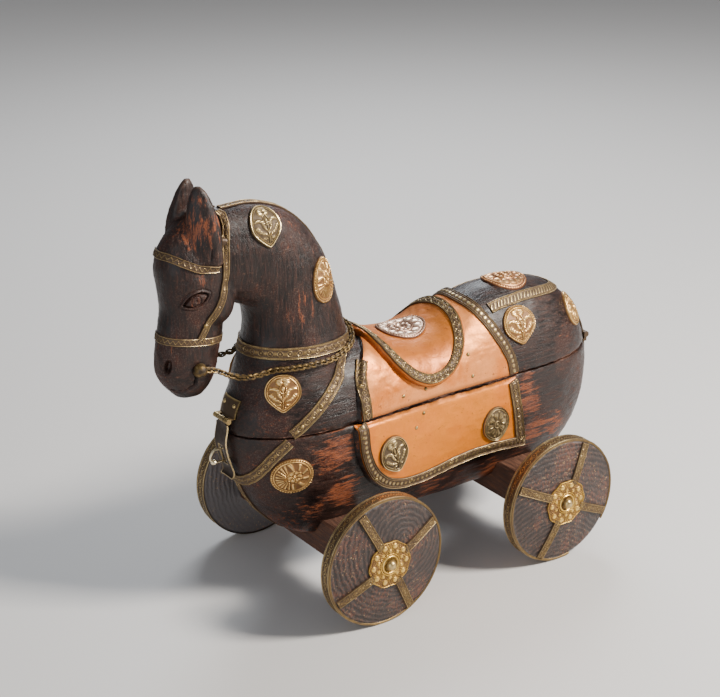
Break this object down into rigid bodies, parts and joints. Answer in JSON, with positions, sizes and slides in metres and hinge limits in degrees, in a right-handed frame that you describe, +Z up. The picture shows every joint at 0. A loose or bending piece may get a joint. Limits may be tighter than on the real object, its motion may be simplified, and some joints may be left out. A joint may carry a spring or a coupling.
{
  "type": "wooden horse on wheels",
  "caption": "Carved wooden horse on four turning wheels, made as a box with a hinged upper half, dressed with embossed brass straps and medallions and a copper saddle.",
  "frame": {"origin": "on the floor, under the middle of the whole length, on the horse's centre plane", "axes": "+X the way the horse faces, +Y its left side, +Z up"},
  "size_m": [0.2934, 0.1522, 0.25],
  "materials": {
    "dark_wood": "dark, hand rubbed, worn to red brown at the edges",
    "beam_wood": "dry, open grain",
    "wheel_wood": "dark, worn",
    "aged_brass": "embossed thin sheet, tarnished in the recesses",
    "bright_brass": "embossed thin sheet, rubbed bright",
    "copper_sheet": "thin satin copper sheet, dented"
  },
  "bodies": {
    "body": {"axle_beam_front": "beam_wood", "axle_beam_rear": "beam_wood", "base": "dark_wood", "breast_strap_base": "aged_brass", "hasp_staple": "aged_brass", "hinge_base_leaf": "aged_brass", "medallion_panel_front_left": "bright_brass", "medallion_panel_front_right": "bright_brass", "medallion_panel_rear_left": "bright_brass", "medallion_panel_rear_right": "bright_brass", "medallion_prow_left": "bright_brass", "medallion_prow_right": "bright_brass", "panel_border_left": "aged_brass", "panel_border_right": "aged_brass", "saddle_panel_left": "copper_sheet", "saddle_panel_right": "copper_sheet", "wheel_front_left_nail": "bright_brass", "wheel_front_right_nail": "bright_brass", "wheel_rear_left_nail": "bright_brass", "wheel_rear_right_nail": "bright_brass"},
    "lid": {"breast_strap_lid_left": "aged_brass", "breast_strap_lid_right": "aged_brass", "browband": "aged_brass", "cheek_strap_left": "aged_brass", "cheek_strap_right": "aged_brass", "collar_strip": "aged_brass", "crest_strip": "aged_brass", "crupper_strap": "aged_brass", "hasp_plate": "aged_brass", "hinge_lid_leaf": "aged_brass", "lid": "dark_wood", "medallion_chest_left": "bright_brass", "medallion_chest_right": "bright_brass", "medallion_neck_lower_left": "bright_brass", "medallion_neck_lower_right": "bright_brass", "medallion_neck_upper_left": "bright_brass", "medallion_neck_upper_right": "bright_brass", "medallion_rump_rear_left": "bright_brass", "medallion_rump_rear_right": "bright_brass", "medallion_rump_side_left": "bright_brass", "medallion_rump_side_right": "bright_brass", "medallion_rump_top": "bright_brass", "medallion_seat": "bright_brass", "noseband": "aged_brass", "rein_chain": "aged_brass", "saddle_cloth_lid": "copper_sheet", "saddle_front_strip_left": "aged_brass", "saddle_front_strip_right": "aged_brass", "saddle_rear_strap": "aged_brass", "seat": "copper_sheet", "seat_rim": "aged_brass"},
    "hasp": {"hasp": "aged_brass"},
    "wheel_front_left": {"wheel_front_left_brass": "aged_brass", "wheel_front_left_disc": "wheel_wood"},
    "wheel_front_right": {"wheel_front_right_brass": "aged_brass", "wheel_front_right_disc": "wheel_wood"},
    "wheel_rear_left": {"wheel_rear_left_brass": "aged_brass", "wheel_rear_left_disc": "wheel_wood"},
    "wheel_rear_right": {"wheel_rear_right_brass": "aged_brass", "wheel_rear_right_disc": "wheel_wood"}
  },
  "joints": [
    {"name": "lid_hinge", "type": "hinge", "parent": "body", "child": "lid", "pos_m": [-0.14493, 0, 0.106], "axis": [0, -1, 0], "range_deg": [0, 95]},
    {"name": "hasp_hinge", "type": "hinge", "parent": "lid", "child": "hasp", "pos_m": [0.10844, 0, 0.114], "axis": [0, -1, 0], "range_deg": [0, 105]},
    {"name": "wheel_front_left_turn", "type": "hinge", "parent": "body", "child": "wheel_front_left", "pos_m": [0.04864, 0.0645, 0.038], "axis": [0, 1, 0], "continuous": true},
    {"name": "wheel_front_right_turn", "type": "hinge", "parent": "body", "child": "wheel_front_right", "pos_m": [0.04864, -0.0645, 0.038], "axis": [0, 1, 0], "continuous": true},
    {"name": "wheel_rear_left_turn", "type": "hinge", "parent": "body", "child": "wheel_rear_left", "pos_m": [-0.07736, 0.0645, 0.038], "axis": [0, 1, 0], "continuous": true},
    {"name": "wheel_rear_right_turn", "type": "hinge", "parent": "body", "child": "wheel_rear_right", "pos_m": [-0.07736, -0.0645, 0.038], "axis": [0, 1, 0], "continuous": true}
  ]
}
